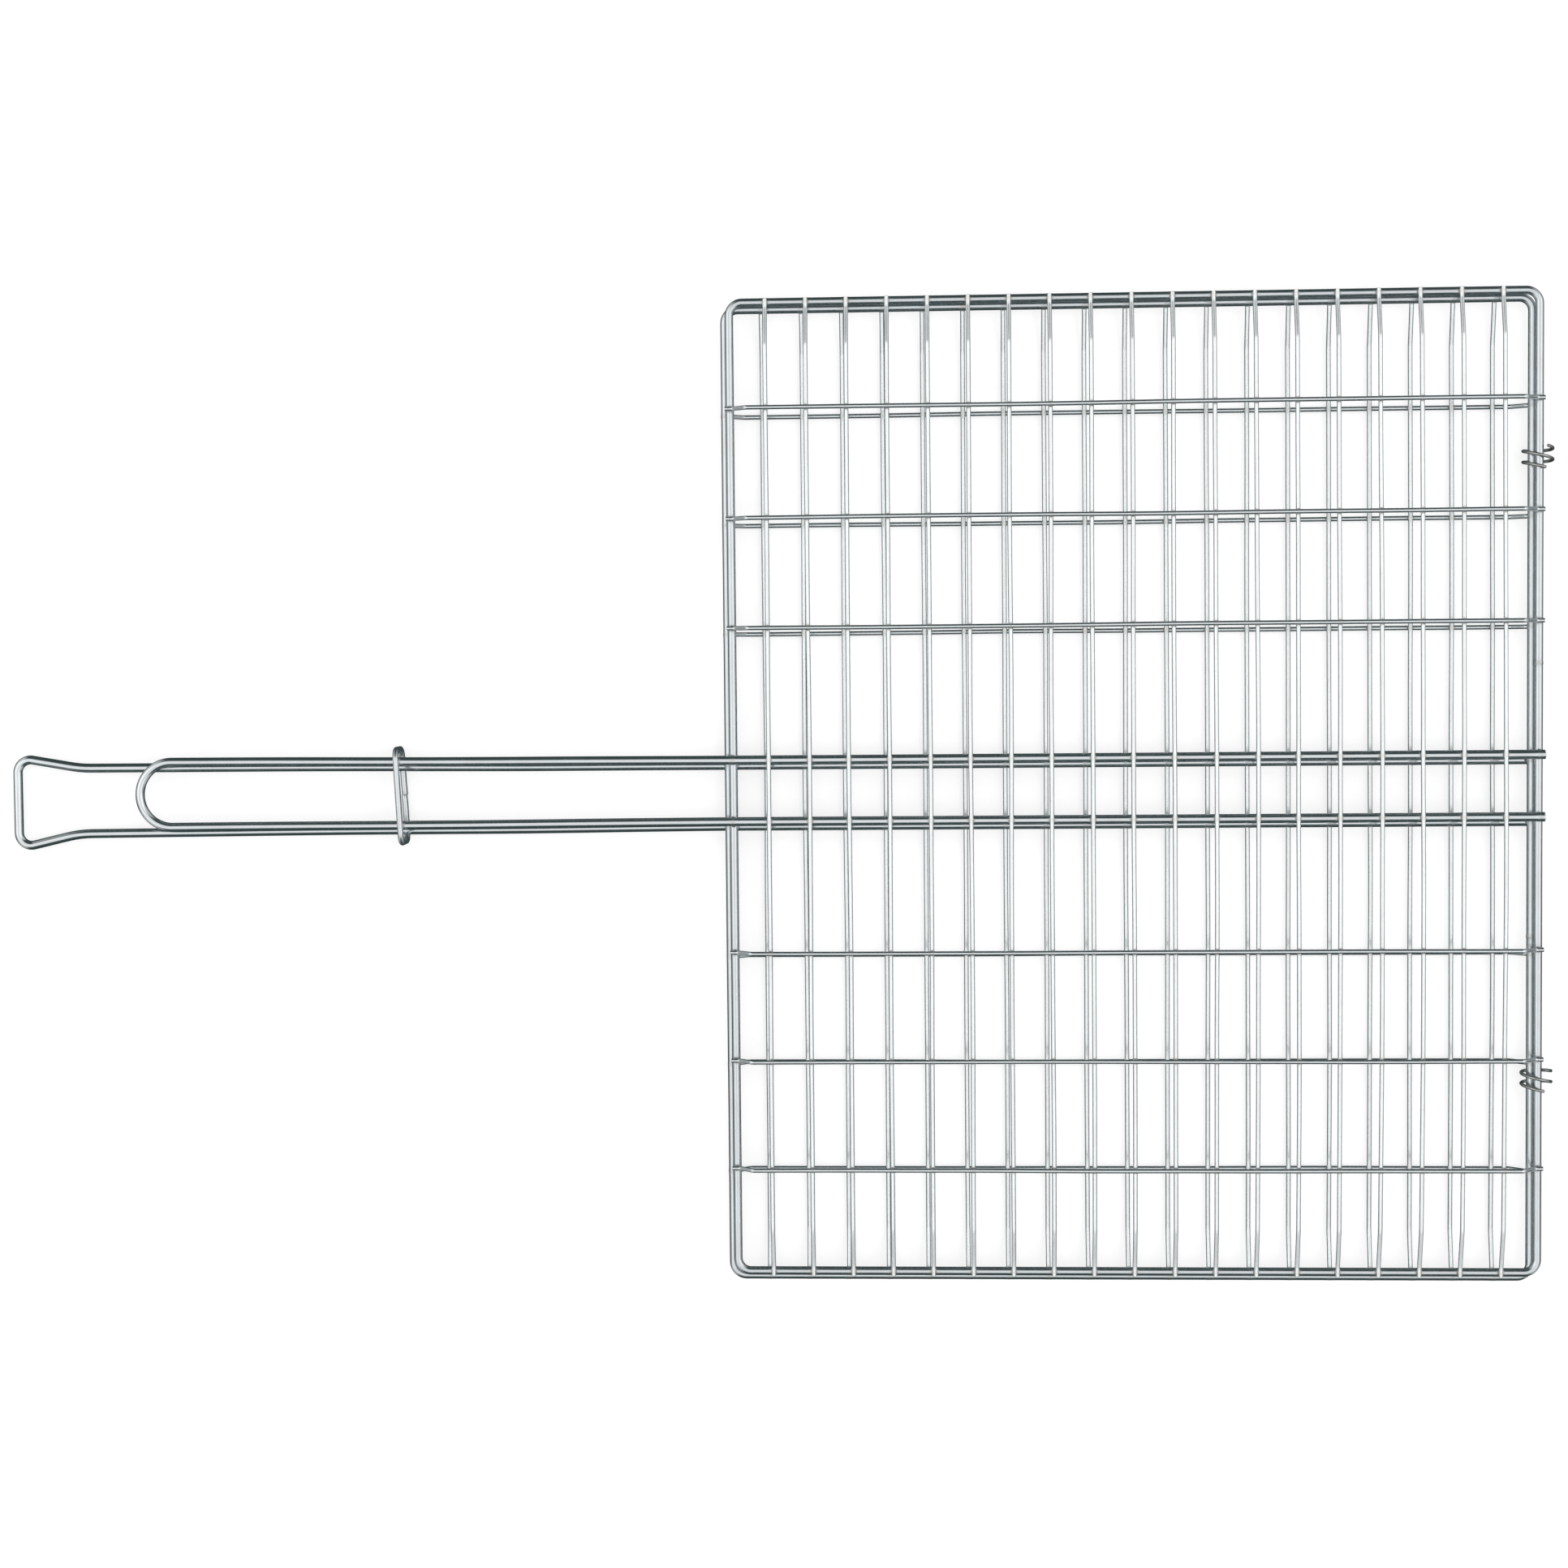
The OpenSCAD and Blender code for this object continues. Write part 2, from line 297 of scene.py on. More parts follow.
def tube(node, path, kind, body, seed, spots=(), closed=False, bead=None,
         up=(0.0, 0.0, 1.0), suffix="_wire"):
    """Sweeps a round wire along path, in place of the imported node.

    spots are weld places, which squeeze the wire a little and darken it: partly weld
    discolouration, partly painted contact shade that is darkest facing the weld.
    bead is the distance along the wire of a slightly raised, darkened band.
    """
    count, sides = len(path), kind.sides
    radius = kind.diameter / 2
    tangent = path_tangents(path, closed)
    normal, binormal, twist = carried_frames(tangent, up, closed)
    near, toward = weld_influence(path, tangent, spots)
    run = run_lengths(path)

    shell = Shell()
    angles = TAU * np.arange(sides) / sides
    wander = Wobble(seed + 17, 0.006, waves=(0.13, 0.05, 0.021))
    for i in range(count):
        turned = angles + twist[i]
        ring = np.cos(turned)[:, None] * normal[i] + np.sin(turned)[:, None] * binormal[i]
        reach = np.full(sides, radius * (1 + wander(run[i])))
        weld = np.zeros(sides)
        if near[i] > 1e-3:
            # squeezed along the line of the weld, swollen across it; darkened all round as weld
            # discolouration, and darkest facing the weld as painted contact shade in the crevice
            facing = ring @ toward[i]
            reach *= 1 + near[i] * (0.030 - 0.075 * np.clip(np.abs(facing), 0, 1) ** 2)
            weld = near[i] * (0.30 + 0.70 * np.clip(facing, 0, 1))
        if bead is not None:
            # a narrow, three-lobed swelling inside a wider dark band
            swell = math.exp(-((run[i] - bead) / 0.00055) ** 2)
            reach *= 1 + 0.08 * swell * (1 + 0.25 * np.sin(3 * turned + 1.0))
            weld = np.maximum(weld, 0.34 * math.exp(-((run[i] - bead) / 0.0022) ** 2))
        wire = np.stack(
            [np.full(sides, run[i]), np.cos(angles) * radius, np.sin(angles) * radius], -1)
        shell.points += (path[i] + ring * reach[:, None]).tolist()
        shell.weld += weld.tolist()
        shell.wire += wire.tolist()

    for i in range(count if closed else count - 1):
        j = (i + 1) % count
        for k in range(sides):
            m = (k + 1) % sides
            shell.faces.append((i * sides + k, i * sides + m, j * sides + m, j * sides + k))

    if not closed:
        rng = np.random.default_rng(seed + 5)
        for end, sign in ((0, -1.0), (count - 1, 1.0)):
            close_end(shell, list(range(end * sides, (end + 1) * sides)), sign, path[end],
                      tangent[end] * sign, normal[end], binormal[end], radius, run[end],
                      tilt=rng.uniform(-0.10, 0.10, 2))

    make(node + suffix, shell, body, kind.material, node)


def make(name, shell, body, material, node=None):
    """Turns a shell into an object that rides its body."""
    mesh = bpy.data.meshes.new(name)
    mesh.from_pydata([tuple(point) for point in shell.points], [], shell.faces)
    mesh.validate()
    if shell.weld:
        weld = mesh.attributes.new("weld", "FLOAT", "POINT")
        weld.data.foreach_set("value", np.array(shell.weld, np.float32))
        wire = mesh.attributes.new("wire", "FLOAT_VECTOR", "POINT")
        wire.data.foreach_set("vector", np.array(shell.wire, np.float32).ravel())
    mesh.shade_smooth()
    mesh.materials.append(material)
    obj = bpy.data.objects.new(name, mesh)
    bpy.context.scene.collection.objects.link(obj)
    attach(obj, body)
    if node:
        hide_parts(node)


# ---------------------------------------------------------------- materials
BLACK = (0, 0, 0)
WHITE = (1, 1, 1)


class Nodes:
    """Short ways to add nodes to an emptied tree. Inputs take a value or another node's output."""

    def __init__(self, tree):
        self.tree = tree
        tree.nodes.clear()

    def feed(self, node, inputs):
        for key, value in inputs.items():
            if isinstance(value, bpy.types.NodeSocket):
                self.tree.links.new(value, node.inputs[key])
            else:
                node.inputs[key].default_value = value

    def add(self, kind, inputs=None, **settings):
        node = self.tree.nodes.new("ShaderNode" + kind)
        for key, value in settings.items():
            setattr(node, key, value)
        self.feed(node, inputs or {})
        return node

    def calc(self, operation, *values, **settings):
        inputs = dict(enumerate(values))
        return self.add("Math", inputs, operation=operation, **settings).outputs[0]

    def noise(self, vector, **inputs):
        return self.add("TexNoise", {"Vector": vector, **inputs}).outputs["Fac"]

    def mix(self, factor, first, second, **settings):
        # sockets 0, 6, 7 and output 2 are those of a colour mix
        inputs = {0: factor, 6: first, 7: second}
        return self.add("Mix", inputs, data_type="RGBA", **settings).outputs[2]

    def ramp(self, source, *stops):
        """Colour ramp; each stop is a position and a colour."""
        node = self.add("ValToRGB", {"Fac": source})
        elements = node.color_ramp.elements
        while len(elements) < len(stops):
            elements.new(0.5)
        for element, (position, colour) in zip(elements, stops):
            element.position = position
            element.color = (*colour, 1.0)
        return node.outputs["Color"]

    def ease(self, source, span, levels):
        """Smooth step from the first level to the second while source crosses the span."""
        return self.add("MapRange", {
            "Value": source, "From Min": span[0], "From Max": span[1],
            "To Min": levels[0], "To Max": levels[1],
        }, interpolation_type="SMOOTHSTEP").outputs["Result"]

    def bump(self, height, strength, distance):
        inputs = {"Height": height, "Strength": strength, "Distance": distance}
        return self.add("Bump", inputs).outputs["Normal"]


def node_material(name):
    material = bpy.data.materials.new(name)
    material.use_nodes = True
    nodes = Nodes(material.node_tree)
    bsdf = nodes.add("BsdfPrincipled")
    nodes.add("OutputMaterial", {"Surface": bsdf.outputs["BSDF"]})
    return material, nodes, bsdf


def plated(name, colour, roughness, dull=0.0, streak=1.0, tint=(0.86, 0.90, 0.92)):
    """Bright plated round wire: drawing lines, cloudy plating, tiny pits, and at the welds weld
    discolouration with painted contact shade.

    dull darkens the clouds and strengthens the pits, streak strengthens the drawing lines,
    and tint colours the lighter clouds.
    """
    material, nodes, bsdf = node_material(name)
    place = nodes.add("TexCoord").outputs["Object"]
    wire = nodes.add("Attribute", attribute_name="wire").outputs["Vector"]
    weld = nodes.add("Attribute", attribute_name="weld").outputs["Fac"]

    # drawing lines: fine round the wire, long along it
    stretched = nodes.add("Mapping", {"Vector": wire, "Scale": (38.0, 5200.0, 5200.0)})
    lines = nodes.noise(stretched.outputs["Vector"], Scale=1.0, Detail=3.0, Roughness=0.6)
    # cloudy plating, a few centimetres across
    cloud = nodes.noise(place, Scale=55.0, Detail=5.0, Roughness=0.62)
    # small pits and specks
    specks = nodes.noise(place, Scale=1500.0, Detail=2.0)
    pits = nodes.ramp(specks, (0.0, WHITE), (0.24, WHITE), (0.30, BLACK), (1.0, BLACK))

    # colour: dark and light clouds, darkened at the welds by weld discolouration and painted
    # contact shade, with dirt in the pits
    dark = (*[c * (0.90 - 0.12 * dull) for c in colour], 1)
    light = (*[min(1.0, c * t * 1.12) for c, t in zip(colour, tint)], 1)
    clouded = nodes.mix(nodes.ramp(cloud, (0.30, BLACK), (0.70, WHITE)), dark, light)
    # painted contact shade at the crossings, with weld discolouration: a faint straw, then greys
    # down to near black facing the weld
    weld_and_shade_dark = (0.20, 0.20, 0.19)
    weld_tint_and_shade = nodes.ramp(
        weld, (0.0, WHITE), (0.12, WHITE), (0.32, (0.90, 0.88, 0.84)),
        (0.55, (0.62, 0.63, 0.64)), (0.80, weld_and_shade_dark), (1.0, tuple(0.72 * c for c in weld_and_shade_dark)))
    weld_tinted_and_shaded = nodes.mix(1.0, clouded, weld_tint_and_shade, blend_type="MULTIPLY")
    dirt = nodes.calc("MULTIPLY", pits, 0.25 + 0.4 * dull)
    dirty = nodes.mix(dirt, weld_tinted_and_shaded, (0.16, 0.15, 0.13, 1))

    # roughness: drawing lines, clouds, welds and pits each dull it by the share given here
    rough = nodes.calc("MULTIPLY_ADD", lines, 0.16 * streak, roughness - 0.07 * streak)
    rough = nodes.calc("MULTIPLY_ADD", cloud, 0.10, rough)
    rough = nodes.calc("MULTIPLY_ADD", weld, 0.30, rough)
    rough = nodes.calc("MULTIPLY_ADD", pits, 0.22, rough, use_clamp=True)

    # relief: raised drawing lines, sunken pits
    ridges = nodes.calc("MULTIPLY", lines, 0.55 * streak)
    relief = nodes.calc("SUBTRACT", ridges, pits)
    nodes.feed(bsdf, {
        "Base Color": dirty,
        "Metallic": 1.0,
        "Roughness": rough,
        "Normal": nodes.bump(relief, strength=0.22 + 0.3 * dull, distance=0.00003),
    })
    return material


def weld_material(name):
    """Squeezed-out weld metal: dark, grainy, with a trace of blue and straw."""
    material, nodes, bsdf = node_material(name)
    place = nodes.add("TexCoord").outputs["Object"]
    grain = nodes.noise(place, Scale=2200.0, Detail=4.0)
    patches = nodes.noise(place, Scale=160.0, Detail=2.0)
    hue = nodes.ramp(patches, (0.30, (0.30, 0.31, 0.33)), (0.50, (0.42, 0.42, 0.41)),
                     (0.66, (0.46, 0.42, 0.34)))
    shade = nodes.ramp(grain, (0.30, (0.45, 0.45, 0.45)), (0.65, WHITE))
    rough = nodes.add("MapRange", {"Value": grain, "To Min": 0.28, "To Max": 0.60})
    nodes.feed(bsdf, {
        "Base Color": nodes.mix(1.0, hue, shade, blend_type="MULTIPLY"),
        "Metallic": 1.0,
        "Roughness": rough.outputs["Result"],
        "Normal": nodes.bump(grain, strength=0.5, distance=0.00008),
    })
    return material


# The kinds of wire; sides is the number of vertices round the wire
WireKind = namedtuple("WireKind", "diameter sides slot material")
FRAME_WIRE = WireKind(FRAME_D, 28, "frame_wire", plated(
    "frame_plating", colour=(0.75, 0.77, 0.78), roughness=0.17))
HANDLE_WIRE = WireKind(HANDLE_D, 28, "handle_wire", plated(
    "handle_plating", colour=(0.81, 0.83, 0.84), roughness=0.11))
LONG_WIRE = WireKind(ROD_D, 16, "grid_wire", plated(
    "grid_plating", colour=(0.88, 0.90, 0.91), roughness=0.14))
CROSS_WIRE = WireKind(ROD_D, 16, "grid_wire", plated(
    "cross_plating", colour=(0.98, 0.99, 1.00), roughness=0.19))
RING_WIRE = WireKind(RING_D, 26, "ring_wire", plated(
    "ring_plating", colour=(0.80, 0.82, 0.83), roughness=0.26))
COIL_WIRE = WireKind(COIL_D, 20, "coil_wire", plated(
    "coil_steel", colour=(0.54, 0.55, 0.54), roughness=0.25, dull=0.7, streak=1.2,
    tint=(0.90, 0.90, 0.86)))
WELD_METAL = weld_material("weld_metal")


# ---------------------------------------------------------------- layout from the frame
class Rod:
    """One thin wire, read from its node. along and across are axis numbers: 0 is X, 1 is Y."""

    def __init__(self, node, along, out, sway):
        lo, hi = box(node)
        self.node, self.sway = node, sway
        self.along, self.across = along, 1 - along
        self.at = (lo[self.across] + hi[self.across]) / 2
        self.start, self.stop = lo[along], hi[along]
        # the middle runs at the grid's outer level, the ends at its inner level
        levels = (hi[2] - ROD_D / 2, lo[2] + ROD_D / 2)
        self.mid_z, self.end_z = levels if out > 0 else levels[::-1]
        self.spots = []


class Grid:
    """Where the wires of one grid lie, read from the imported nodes."""

    def __init__(self, side, seed):
        self.side, self.seed, self.body = side, seed, side + "_grid"
        lo, hi = box(side + "_frame")
        self.centre = (lo[:2] + hi[:2]) / 2
        self.half = (hi[:2] - lo[:2] - FRAME_D) / 2
        self.z = (lo[2] + hi[2]) / 2
        self.root_x = self.centre[0] - self.half[0]   # where the handle leaves the grid
        lo, hi = box(side + "_handle")
        self.leg_z = (lo[2] + hi[2]) / 2
        self.tip_x = lo[0] + HANDLE_D / 2
        self.leg_end = hi[0]
        self.tip_half = (hi[1] - lo[1] - HANDLE_D) / 2
        self.leg_ys = (self.centre[1] - LEG_HALF, self.centre[1] + LEG_HALF)
        self.out = 1.0 if self.leg_z > self.z else -1.0   # Z direction of the grid's outer face
        self.frame_spots, self.handle_spots = [], []
        self.cross = [
            Rod(f"{side}_cross_wire_{i:02d}", 1, self.out, self.cross_sway(i))
            for i in range(1, CROSS_COUNT + 1)
        ]
        self.long = [
            Rod(f"{side}_long_wire_{i}", 0, self.out, self.long_sway(i))
            for i in range(1, LONG_COUNT + 1)
        ]

    # Sideways wander of each thin wire, nil at both ends where it is welded to the frame
    def cross_sway(self, number):
        wander = Wobble(self.seed + number, ROD_WANDER)
        # a bow toward +X that sets in after wire 8 and is full from wire 17
        fullness = 1.0 if self.side == "upper" else 0.5
        bow = 0.0010 * float(smooth(8, 17, number)) * fullness
        shift = 0.25 * math.sin(number * 1.7 + self.seed) * 0.0007

        def sway(y):
            u = (y - self.centre[1]) / self.half[1]
            return np.clip(1 - u * u, 0, 1) * (wander(y) + bow * (1 - 0.35 * u) + shift)
        return sway

    def long_sway(self, number):
        wander = Wobble(self.seed + 60 + number, ROD_WANDER)

        def sway(x):
            u = (x - self.centre[0]) / self.half[0]
            return np.clip(1 - u * u, 0, 1) * wander(x)
        return sway


def find_contacts(grid):
    """Notes every crossing on both of its wires; returns (place, wire size, longer axis)."""
    cx, cy = grid.centre
    half_x, half_y = grid.half
    frame_face = grid.z + grid.out * FRAME_D / 2 * CONTACT_SHARE
    leg_face = grid.leg_z + grid.out * HANDLE_D / 2 * CONTACT_SHARE
    contacts = []

    def meet(x, y, z, size, axis, *spot_lists):
        place = np.array([x, y, z])
        for spots in spot_lists:
            spots.append(place)
        contacts.append((place, size, axis))

    for cross in grid.cross:
        for sign in (-1, 1):
            meet(cross.at, cy + sign * half_y, frame_face, ROD_D, "y",
                 cross.spots, grid.frame_spots)
        for y in grid.leg_ys:
            meet(cross.at + float(cross.sway(y)), y, leg_face, ROD_D, "y",
                 cross.spots, grid.handle_spots)
        for long in grid.long:
            y = long.at + float(long.sway(cross.at))
            meet(cross.at + float(cross.sway(y)), y, (cross.mid_z + long.mid_z) / 2,
                 ROD_D, "x", cross.spots, long.spots)
    for long in grid.long:
        for sign in (-1, 1):
            meet(cx + sign * half_x, long.at, frame_face, ROD_D, "x",
                 long.spots, grid.frame_spots)
    for sign in (-1, 1):
        for y in grid.leg_ys:
            meet(cx + sign * half_x, y, frame_face, HANDLE_D, "x",
                 grid.handle_spots, grid.frame_spots)
    return contacts


# ---------------------------------------------------------------- grids
def build_frame(grid):
    """Rounded rectangle with a raised bead on its +X side."""
    cx, cy = grid.centre
    half_x, half_y = grid.half
    corners = [(cx + u * half_x, cy + v * half_y, grid.z)
               for u, v in ((-1, -1), (1, -1), (1, 1), (-1, 1))]
    path = fillet(corners, [FRAME_CORNER] * 4, closed=True, arc=math.radians(3.5))
    path = refine(path, grid.frame_spots, closed=True)
    bead_place = np.array([cx + half_x, cy + BEAD_Y[grid.side], grid.z])
    path = refine(path, [path[nearest_index(path, bead_place)]], fine=0.0003, closed=True)
    bead = float(run_lengths(path)[nearest_index(path, bead_place)])
    tube(grid.side + "_frame", path, FRAME_WIRE, grid.body, grid.seed + 1,
         spots=grid.frame_spots, closed=True, bead=bead)


def build_handle(grid):
    """Two legs across the grid, running on toward -X into a round or a flared tip."""
    root_x, tip_x = grid.root_x, grid.tip_x
    neck_x = tip_x + 0.032   # where the lower handle's flare starts
    # one side of the handle: x, distance from the middle, bend radius
    outline = [(grid.leg_end - LEG_TRIM, LEG_HALF, 0), (root_x, LEG_HALF, 0.2)]
    if grid.side == "upper":
        # a little under the half width, so that the two bends don't quite touch
        outline += [(tip_x, grid.tip_half, grid.tip_half - 0.00015)]
    else:
        outline += [(neck_x, 0.0167, 0.06), (tip_x, 0.0232, 0.0065)]
    cy = grid.centre[1]
    points = [(x, cy - half, grid.leg_z) for x, half, _ in outline]
    points += [(x, cy + half, grid.leg_z) for x, half, _ in reversed(outline)]
    radii = [radius for _, _, radius in outline]
    path = fillet(points, radii + radii[::-1], arc=math.radians(3.5))
    path = refine(path, grid.handle_spots)

    # wander, only on the free part between grid and tip
    x = path[:, 0]
    wander = Wobble(grid.seed + 90, 0.00018, waves=(0.5, 0.27, 0.14))
    free = smooth(root_x + 0.004, root_x - 0.12, x) * smooth(tip_x - 0.002, tip_x + 0.08, x)
    path[:, 1] += wander(x) * free
    if grid.side == "lower":
        # the long handle stands a hair out of square to its grid, its tip a little more so
        path[:, 1] -= 0.0005 * np.clip((root_x - x) / (root_x - neck_x), 0, 1)
        path[:, 1] -= 0.0007 * smooth(neck_x, tip_x, x)
    tube(grid.side + "_handle", path, HANDLE_WIRE, grid.body, grid.seed + 2,
         spots=grid.handle_spots)


def build_rod(grid, rod, kind, seed, foot, shoulder, bend, arc):
    """Thin wire whose ends step to the frame.

    foot and shoulder are where the step starts and ends, measured inward from the frame.
    """
    near = grid.centre[rod.along] - grid.half[rod.along]
    far = grid.centre[rod.along] + grid.half[rod.along]
    stations = [
        (rod.start + ROD_TRIM, rod.end_z), (near + foot, rod.end_z),
        (near + shoulder, rod.mid_z), (far - shoulder, rod.mid_z),
        (far - foot, rod.end_z), (rod.stop - ROD_TRIM, rod.end_z),
    ]
    points = np.full((len(stations), 3), rod.at)
    points[:, [rod.along, 2]] = stations
    path = fillet(points, [0, bend, bend, bend, bend, 0], step=0.006, arc=arc)
    path = refine(path, rod.spots)
    path[:, rod.across] += rod.sway(path[:, rod.along])
    tube(rod.node, path, kind, grid.body, seed, spots=rod.spots, suffix="_w")


def build_welds(grid, contacts):
    """One mesh of small, uneven, squeezed-out collars, each where two wires are spot-welded."""
    rng = np.random.default_rng(grid.seed + 300)
    shell = Shell()
    points, faces = shell.points, shell.faces
    rings, sides = 5, 14
    for place, size, axis in contacts:
        length = size * rng.uniform(0.52, 0.64)
        width = size * rng.uniform(0.46, 0.56)
        height = size * rng.uniform(0.20, 0.27)
        offset = rng.uniform(-0.07, 0.07, 2) * size
        phases = rng.uniform(0, TAU, 3)
        lumps = rng.uniform(0.03, 0.10, 3)
        x, y, z = place[0] + offset[0], place[1] + offset[1], place[2]
        base = len(points)
        for i in range(1, rings):
            polar = math.pi * i / rings
            for k in range(sides):
                angle = TAU * k / sides
                swell = 1 + sum(lump * math.sin((m + 2) * angle + phase)
                                for m, (phase, lump) in enumerate(zip(phases, lumps)))
                swell *= 1 + 0.10 * math.cos(4 * angle)   # squarish outline
                u = length * swell * math.cos(angle) * math.sin(polar)
                v = width * swell * math.sin(angle) * math.sin(polar)
                if axis == "y":
                    u, v = v, u
                points.append([x + u, y + v, z + height * math.cos(polar)])
        top, bottom = len(points), len(points) + 1
        points.append([x, y, z + height])
        points.append([x, y, z - height])
        for i in range(rings - 2):
            ring = base + i * sides
            for k in range(sides):
                m = (k + 1) % sides
                faces.append((ring + k, ring + sides + k, ring + sides + m, ring + m))
        ring = base + (rings - 2) * sides
        for k in range(sides):
            m = (k + 1) % sides
            faces.append((top, base + k, base + m))
            faces.append((ring + m, ring + k, bottom))
    make(grid.side + "_spot_welds", shell, grid.body, WELD_METAL)


def build_grid(grid):
    contacts = find_contacts(grid)
    build_frame(grid)
    build_handle(grid)
    for i, rod in enumerate(grid.cross, 1):
        build_rod(grid, rod, CROSS_WIRE, grid.seed + 100 + i,
                  foot=0.0025, shoulder=0.022, bend=0.012, arc=math.radians(3))
    for i, rod in enumerate(grid.long, 1):
        build_rod(grid, rod, LONG_WIRE, grid.seed + 200 + i,
                  foot=0.0018, shoulder=0.0085, bend=0.003, arc=math.radians(4))
    build_welds(grid, contacts)


# ---------------------------------------------------------------- lock ring
def build_ring():
    """Rounded rectangle of wire, upright and nearly parallel to YZ."""
    lo, hi = box("lock_ring")
    half_y, half_z, corner = 0.0233, 0.0108, 0.005
    lean, turn = math.radians(2.0), math.radians(3.0)   # about Y, then about Z
    # starts and ends at the butt joint in the middle of the lower bar
    gap = 0.00012
    outline = [(gap, -half_z), (half_y, -half_z), (half_y, half_z),
               (-half_y, half_z), (-half_y, -half_z), (-gap, -half_z)]
    path = fillet([(0.0, y, z) for y, z in outline], [0, corner, corner, corner, corner, 0],
                  step=0.003, arc=math.radians(4))
    x, y, z = path.T
    # the two long bars bow outward by a hair, and the joint's ends don't quite meet
    z = z + np.sign(z) * 0.00012 * np.clip(1 - (y / half_y) ** 2, 0, 1)
    at_joint = smooth(0.006, 0.0, np.abs(y)) * (z < 0)
    x = x + 0.00016 * at_joint * np.sign(y)
    c, s = math.cos(lean), math.sin(lean)
    x, z = x * c + z * s, -x * s + z * c
    c, s = math.cos(turn), math.sin(turn)
    x, y = x * c - y * s, x * s + y * c
    path = np.stack([x, y, z], -1) + (lo + hi) / 2
    tube("lock_ring", path, RING_WIRE, "ring", seed=9001)


# ---------------------------------------------------------------- hinge coils
def build_coil(side, seed):
    """Coil of nearly two turns about an axis along Y."""
    node = "hinge_coil_" + side
    lo, hi = box(node)
    radius = (hi[0] - lo[0] - COIL_D) / 2
    pitch, start, sweep, steps = 0.0054, 60.0, 710.0, 320   # start and sweep in degrees

    def rise(degrees):
        # uneven climb: most of it falls in one half of each turn
        return pitch / 360 * (degrees - 0.9 * 180 / math.pi * math.cos(math.radians(degrees)))

    middle = (rise(start) + rise(start - sweep)) / 2
    wander = Wobble(seed, 0.00006, waves=(190.0, 97.0, 61.0))   # waves in degrees
    path = []
    for k in range(steps + 1):
        degrees = start - sweep * k / steps
        angle = math.radians(degrees)
        reach = radius + float(wander(degrees))
        path.append((reach * math.cos(angle), rise(degrees) - middle, reach * math.sin(angle)))
    tube(node, np.array(path) + (lo + hi) / 2, COIL_WIRE, "coil_" + side, seed,
         up=(0.0, 1.0, 0.0))


# ---------------------------------------------------------------- studio
def build_floor():
    half = 6.0
    z = cad_lo.z - 0.0006
    mesh = bpy.data.meshes.new("floor")
    mesh.from_pydata([(-half, -half, z), (half, -half, z), (half, half, z), (-half, half, z)],
                     [], [(0, 1, 2, 3)])
    floor = bpy.data.objects.new("floor", mesh)
    bpy.context.scene.collection.objects.link(floor)
    material, nodes, bsdf = node_material("floor_paper")
    clouds = nodes.noise(nodes.add("TexCoord").outputs["Object"], Scale=3.0)
    nodes.feed(bsdf, {
        "Base Color": nodes.ramp(clouds, (0.3, (0.46, 0.46, 0.46)), (0.7, (0.475, 0.475, 0.475))),
        "Emission Color": (1, 1, 1, 1),
        "Emission Strength": 0.60,
        "Roughness": 0.95,
        "Specular IOR Level": 0.0,
    })
    mesh.materials.append(material)
    floor.visible_glossy = False


def mirrored_room(nodes):
    """Colour by direction of what the bright wire mirrors.

    A soft box overhead, long in X, narrow in Y and brighter toward its ends, a dim card low
    on either side, a fill in each corner, dark elsewhere.
    """
    calc, ease = nodes.calc, nodes.ease
    direction = nodes.add("TexCoord").outputs["Generated"]
    axes = nodes.add("SeparateXYZ", {"Vector": direction}).outputs
    x, y, z = axes["X"], axes["Y"], axes["Z"]

    # overhead box: reaches far down along X, and lower toward -Y it needs more height
    across = ease(calc("ABSOLUTE", calc("ADD", y, 0.09)), span=(0.42, 0.70), levels=(1.0, 0.0))
    drop = calc("MULTIPLY", calc("MAXIMUM", calc("SUBTRACT", -0.02, y), 0.0), 1.6)
    height = calc("SUBTRACT", z, calc("MINIMUM", drop, 0.26))
    main = calc("MULTIPLY", across, ease(height, span=(0.14, 0.54), levels=(0.0, 0.90)))
    ends = ease(calc("ABSOLUTE", x), span=(0.26, 0.55), levels=(1.0, 1.45))
    main = calc("MULTIPLY", main, ends)
    # dim cards low toward +X and -X
    card = calc("MULTIPLY",
                ease(calc("ABSOLUTE", x), span=(0.30, 0.72), levels=(0.0, 0.46)),
                ease(height, span=(-0.50, 0.05), levels=(0.0, 1.0)))
    card = calc("MULTIPLY", card,
                ease(calc("ABSOLUTE", y), span=(0.45, 0.80), levels=(1.0, 0.0)))
    # soft fill in the four corners of the room, which only slanting views mirror
    fill = calc("MULTIPLY",
                ease(calc("ABSOLUTE", x), span=(0.38, 0.62), levels=(0.0, 1.0)),
                ease(calc("ABSOLUTE", y), span=(0.28, 0.50), levels=(0.0, 1.0)))
    fill = calc("MULTIPLY", fill, ease(z, span=(-0.55, 0.15), levels=(0.10, 0.62)))
    level = calc("MAXIMUM", calc("MAXIMUM", main, card), fill)
    # the level may pass 1, so the factor isn't clamped
    return nodes.mix(level, (0.040, 0.059, 0.060, 1), (1.0, 1.0, 1.0, 1), clamp_factor=False)


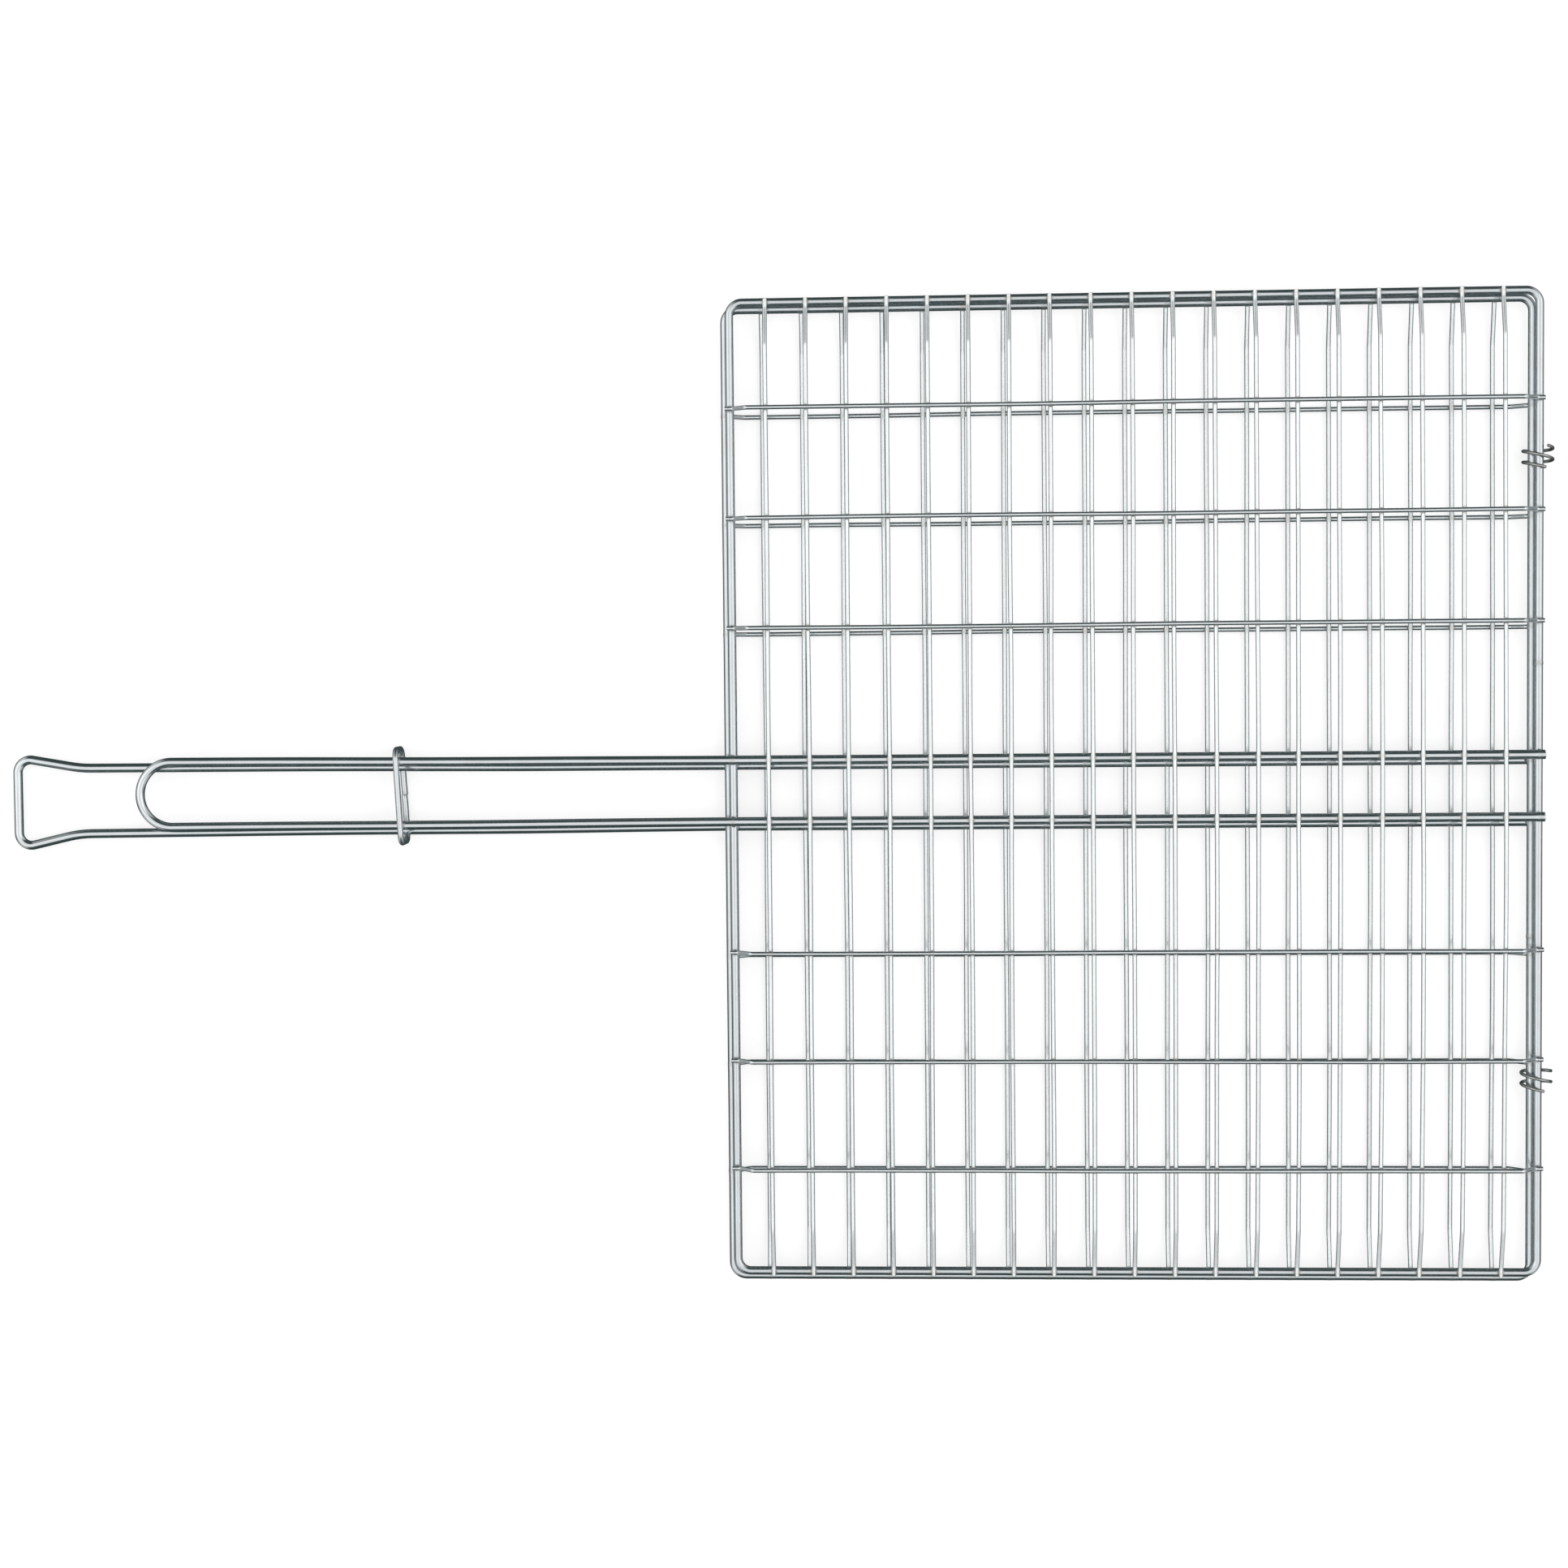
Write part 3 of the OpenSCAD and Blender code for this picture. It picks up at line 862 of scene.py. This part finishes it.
def build_world():
    """The mirrored room for glossy rays, white for the camera, soft white light for the rest."""
    world = bpy.data.worlds.new("studio")
    bpy.context.scene.world = world
    world.use_nodes = True
    nodes = Nodes(world.node_tree)

    def background(colour, strength):
        inputs = {"Color": colour, "Strength": strength}
        return nodes.add("Background", inputs).outputs["Background"]

    def choose(factor, otherwise, chosen):
        return nodes.add("MixShader", {"Fac": factor, 1: otherwise, 2: chosen}).outputs["Shader"]

    white = (1.0, 1.0, 1.0, 1)
    ray = nodes.add("LightPath").outputs
    mirror = background(mirrored_room(nodes), strength=1.0)
    plain = background(white, strength=0.80)
    seen = background(white, strength=1.0)
    lit = choose(ray["Is Glossy Ray"], plain, mirror)
    nodes.add("OutputWorld", {"Surface": choose(ray["Is Camera Ray"], lit, seen)})


def build_key():
    data = bpy.data.lights.new("overhead_softbox", "AREA")
    data.shape = "RECTANGLE"
    data.size = 1.6
    data.size_y = 1.6
    data.energy = 16.0
    light = bpy.data.objects.new("overhead_softbox", data)
    light.location = (0.25, 0.10, 1.9)
    aim = Vector((-0.1, 0, 0)) - light.location
    light.rotation_euler = aim.to_track_quat("-Z", "Y").to_euler()
    light.visible_camera = False
    light.visible_glossy = False
    bpy.context.scene.collection.objects.link(light)


def build_camera():
    """Looks down on the basket, a few degrees off the vertical."""
    data = bpy.data.cameras.new("camera")
    data.sensor_width = 36.0
    data.sensor_fit = "HORIZONTAL"
    data.lens = 63.9986
    data.clip_start = 0.05
    data.clip_end = 20.0
    camera = bpy.data.objects.new("camera", data)
    camera.matrix_world = Matrix((
        (0.998469, 0.006880, 0.054882, -0.094085),
        (-0.009461, 0.998855, 0.046903, 0.071272),
        (-0.054496, -0.047350, 0.997391, 1.399997),
        (0.0, 0.0, 0.0, 1.0)))
    bpy.context.scene.collection.objects.link(camera)
    bpy.context.scene.camera = camera


# both grids are read before either is built
for wire_grid in [Grid("lower", seed=1000), Grid("upper", seed=5000)]:
    build_grid(wire_grid)
build_ring()
build_coil("left", seed=9101)
build_coil("right", seed=9202)
build_floor()
build_world()
build_key()
build_camera()

view = bpy.context.scene.view_settings
view.view_transform = "Standard"
view.look = "None"
view.exposure = 0.0

bpy.context.view_layer.update()
